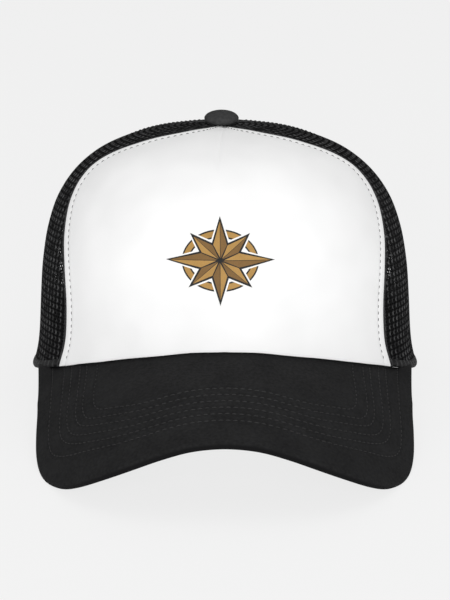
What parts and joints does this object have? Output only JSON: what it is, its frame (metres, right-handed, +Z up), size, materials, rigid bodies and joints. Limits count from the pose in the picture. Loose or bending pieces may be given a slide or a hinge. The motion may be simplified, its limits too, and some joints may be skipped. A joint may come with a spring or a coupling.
{
  "type": "trucker cap",
  "caption": "Adult trucker cap with a foam front, mesh sides and back, a curved bill, a covered top button and a snap strap across the rear opening.",
  "frame": {"origin": "centre of the cap's footprint on the surface that it stands on", "axes": "+Z up, -Y the way the bill points, +X towards the wearer's left"},
  "size_m": [0.1772, 0.2752, 0.1324],
  "materials": {
    "white_foam": "matte woven cloth bonded to foam",
    "black_mesh": "knitted nylon net",
    "black_twill": "matte cotton twill",
    "black_band": "brushed cotton band",
    "black_plastic": "moulded, slightly glossy"
  },
  "bodies": {
    "root": {"front_panel": "white_foam", "side_mesh_left": "black_mesh", "side_mesh_right": "black_mesh", "back_mesh_left": "black_mesh", "back_mesh_right": "black_mesh", "bill": "black_twill", "button": "black_twill", "sweatband": "black_band", "snap_strap": "black_plastic", "arch_binding": "black_twill"}
  },
  "joints": []
}
